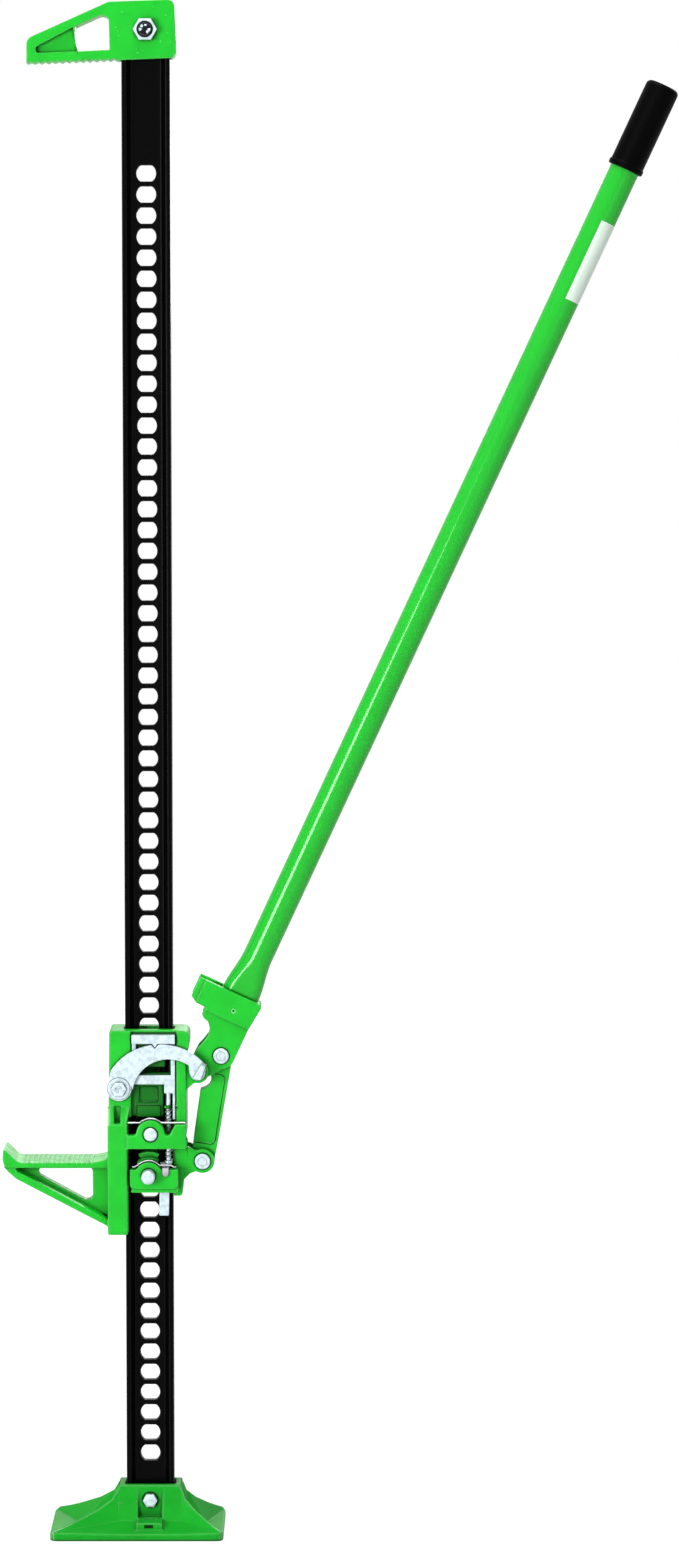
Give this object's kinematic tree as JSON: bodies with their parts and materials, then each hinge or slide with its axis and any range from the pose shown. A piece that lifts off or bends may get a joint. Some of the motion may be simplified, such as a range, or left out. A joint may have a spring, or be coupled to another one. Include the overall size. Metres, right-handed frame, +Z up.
{
  "type": "high lift jack",
  "caption": "High lift jack: a perforated steel rack with a foot and a top clamp, climbed by a lifting-nose runner that a long tubular handle works.",
  "frame": {"origin": "on the ground, under the middle of the rack bar", "axes": "+Z up along the rack, +X towards the handle, -Y towards the front, where the climbing pins are"},
  "size_m": [0.6677, 0.1066, 1.5244],
  "materials": {
    "body_paint": "bright gloss paint on castings and tube",
    "rack_paint": "black satin paint on steel",
    "zinc": "bright zinc plate",
    "spring_steel": "plated spring wire",
    "grip_rubber": "matt black rubber"
  },
  "bodies": {
    "stand": {"rack": "rack_paint", "base_plate": "body_paint", "base_bolt": "zinc", "base_nut": "zinc", "top_clamp": "body_paint", "top_clamp_bolt": "zinc", "top_clamp_nut": "zinc"},
    "carriage": {"large_runner": "body_paint", "handle_pivot_pin": "zinc", "handle_pivot_clip": "zinc", "upper_pin_spring": "spring_steel", "latch_bolt": "zinc", "latch_washer": "zinc"},
    "upper_pin": {"upper_climbing_pin": "zinc"},
    "lower_runner": {"small_runner": "body_paint", "lower_pin_spring": "spring_steel", "spring_keeper": "spring_steel", "pitman_foot_pin": "zinc", "pitman_foot_clip": "zinc"},
    "lower_pin": {"lower_climbing_pin": "zinc"},
    "pitman_arm": {"pitman": "body_paint"},
    "handle": {"handle_socket": "body_paint", "handle_tube": "body_paint", "handle_grip": "grip_rubber", "socket_roll_pin": "zinc", "pitman_head_pin": "zinc", "pitman_head_clip": "zinc"},
    "latch": {"reversing_latch": "zinc"},
    "shifter": {"shift_bar": "zinc", "shift_spring": "spring_steel"}
  },
  "joints": [
    {"name": "carriage_lift", "type": "slide", "parent": "stand", "child": "carriage", "axis": [0, 0, 1], "range_m": [-0.2472, 0.8652]},
    {"name": "handle_swing", "type": "hinge", "parent": "carriage", "child": "handle", "pos_m": [0.0487, 0, 0.4676], "axis": [0, 1, 0], "range_deg": [-24, 50]},
    {"name": "lower_runner_slide", "type": "slide", "parent": "carriage", "child": "lower_runner", "axis": [0, 0, 1], "range_m": [-0.0207, 0.01]},
    {"name": "pitman_turn", "type": "hinge", "parent": "lower_runner", "child": "pitman_arm", "pos_m": [0.0532, 0, 0.3774], "axis": [0, 1, 0], "range_deg": [-3, 5]},
    {"name": "upper_pin_slide", "type": "slide", "parent": "carriage", "child": "upper_pin", "axis": [0, -1, 0], "range_m": [0, 0.0125], "stiffness_N_per_m": 600, "springref_m": -0.004},
    {"name": "lower_pin_slide", "type": "slide", "parent": "lower_runner", "child": "lower_pin", "axis": [0, 1, 0], "range_m": [0, 0.012], "stiffness_N_per_m": 600, "springref_m": -0.004},
    {"name": "latch_turn", "type": "hinge", "parent": "carriage", "child": "latch", "pos_m": [-0.0293, -0.0282, 0.4524], "axis": [0, 1, 0], "range_deg": [0, 18]},
    {"name": "shift_bar_slide", "type": "slide", "parent": "carriage", "child": "shifter", "axis": [0, 0, 1], "range_m": [0, 0.005], "stiffness_N_per_m": 1200, "springref_m": -0.006, "deforming": ["shift_spring"]}
  ],
  "couplings": [
    {"joint": "lower_runner_slide", "follows": "handle_swing", "m_per_rad": -0.023606},
    {"joint": "pitman_turn", "follows": "handle_swing", "ratio": 0.094}
  ]
}
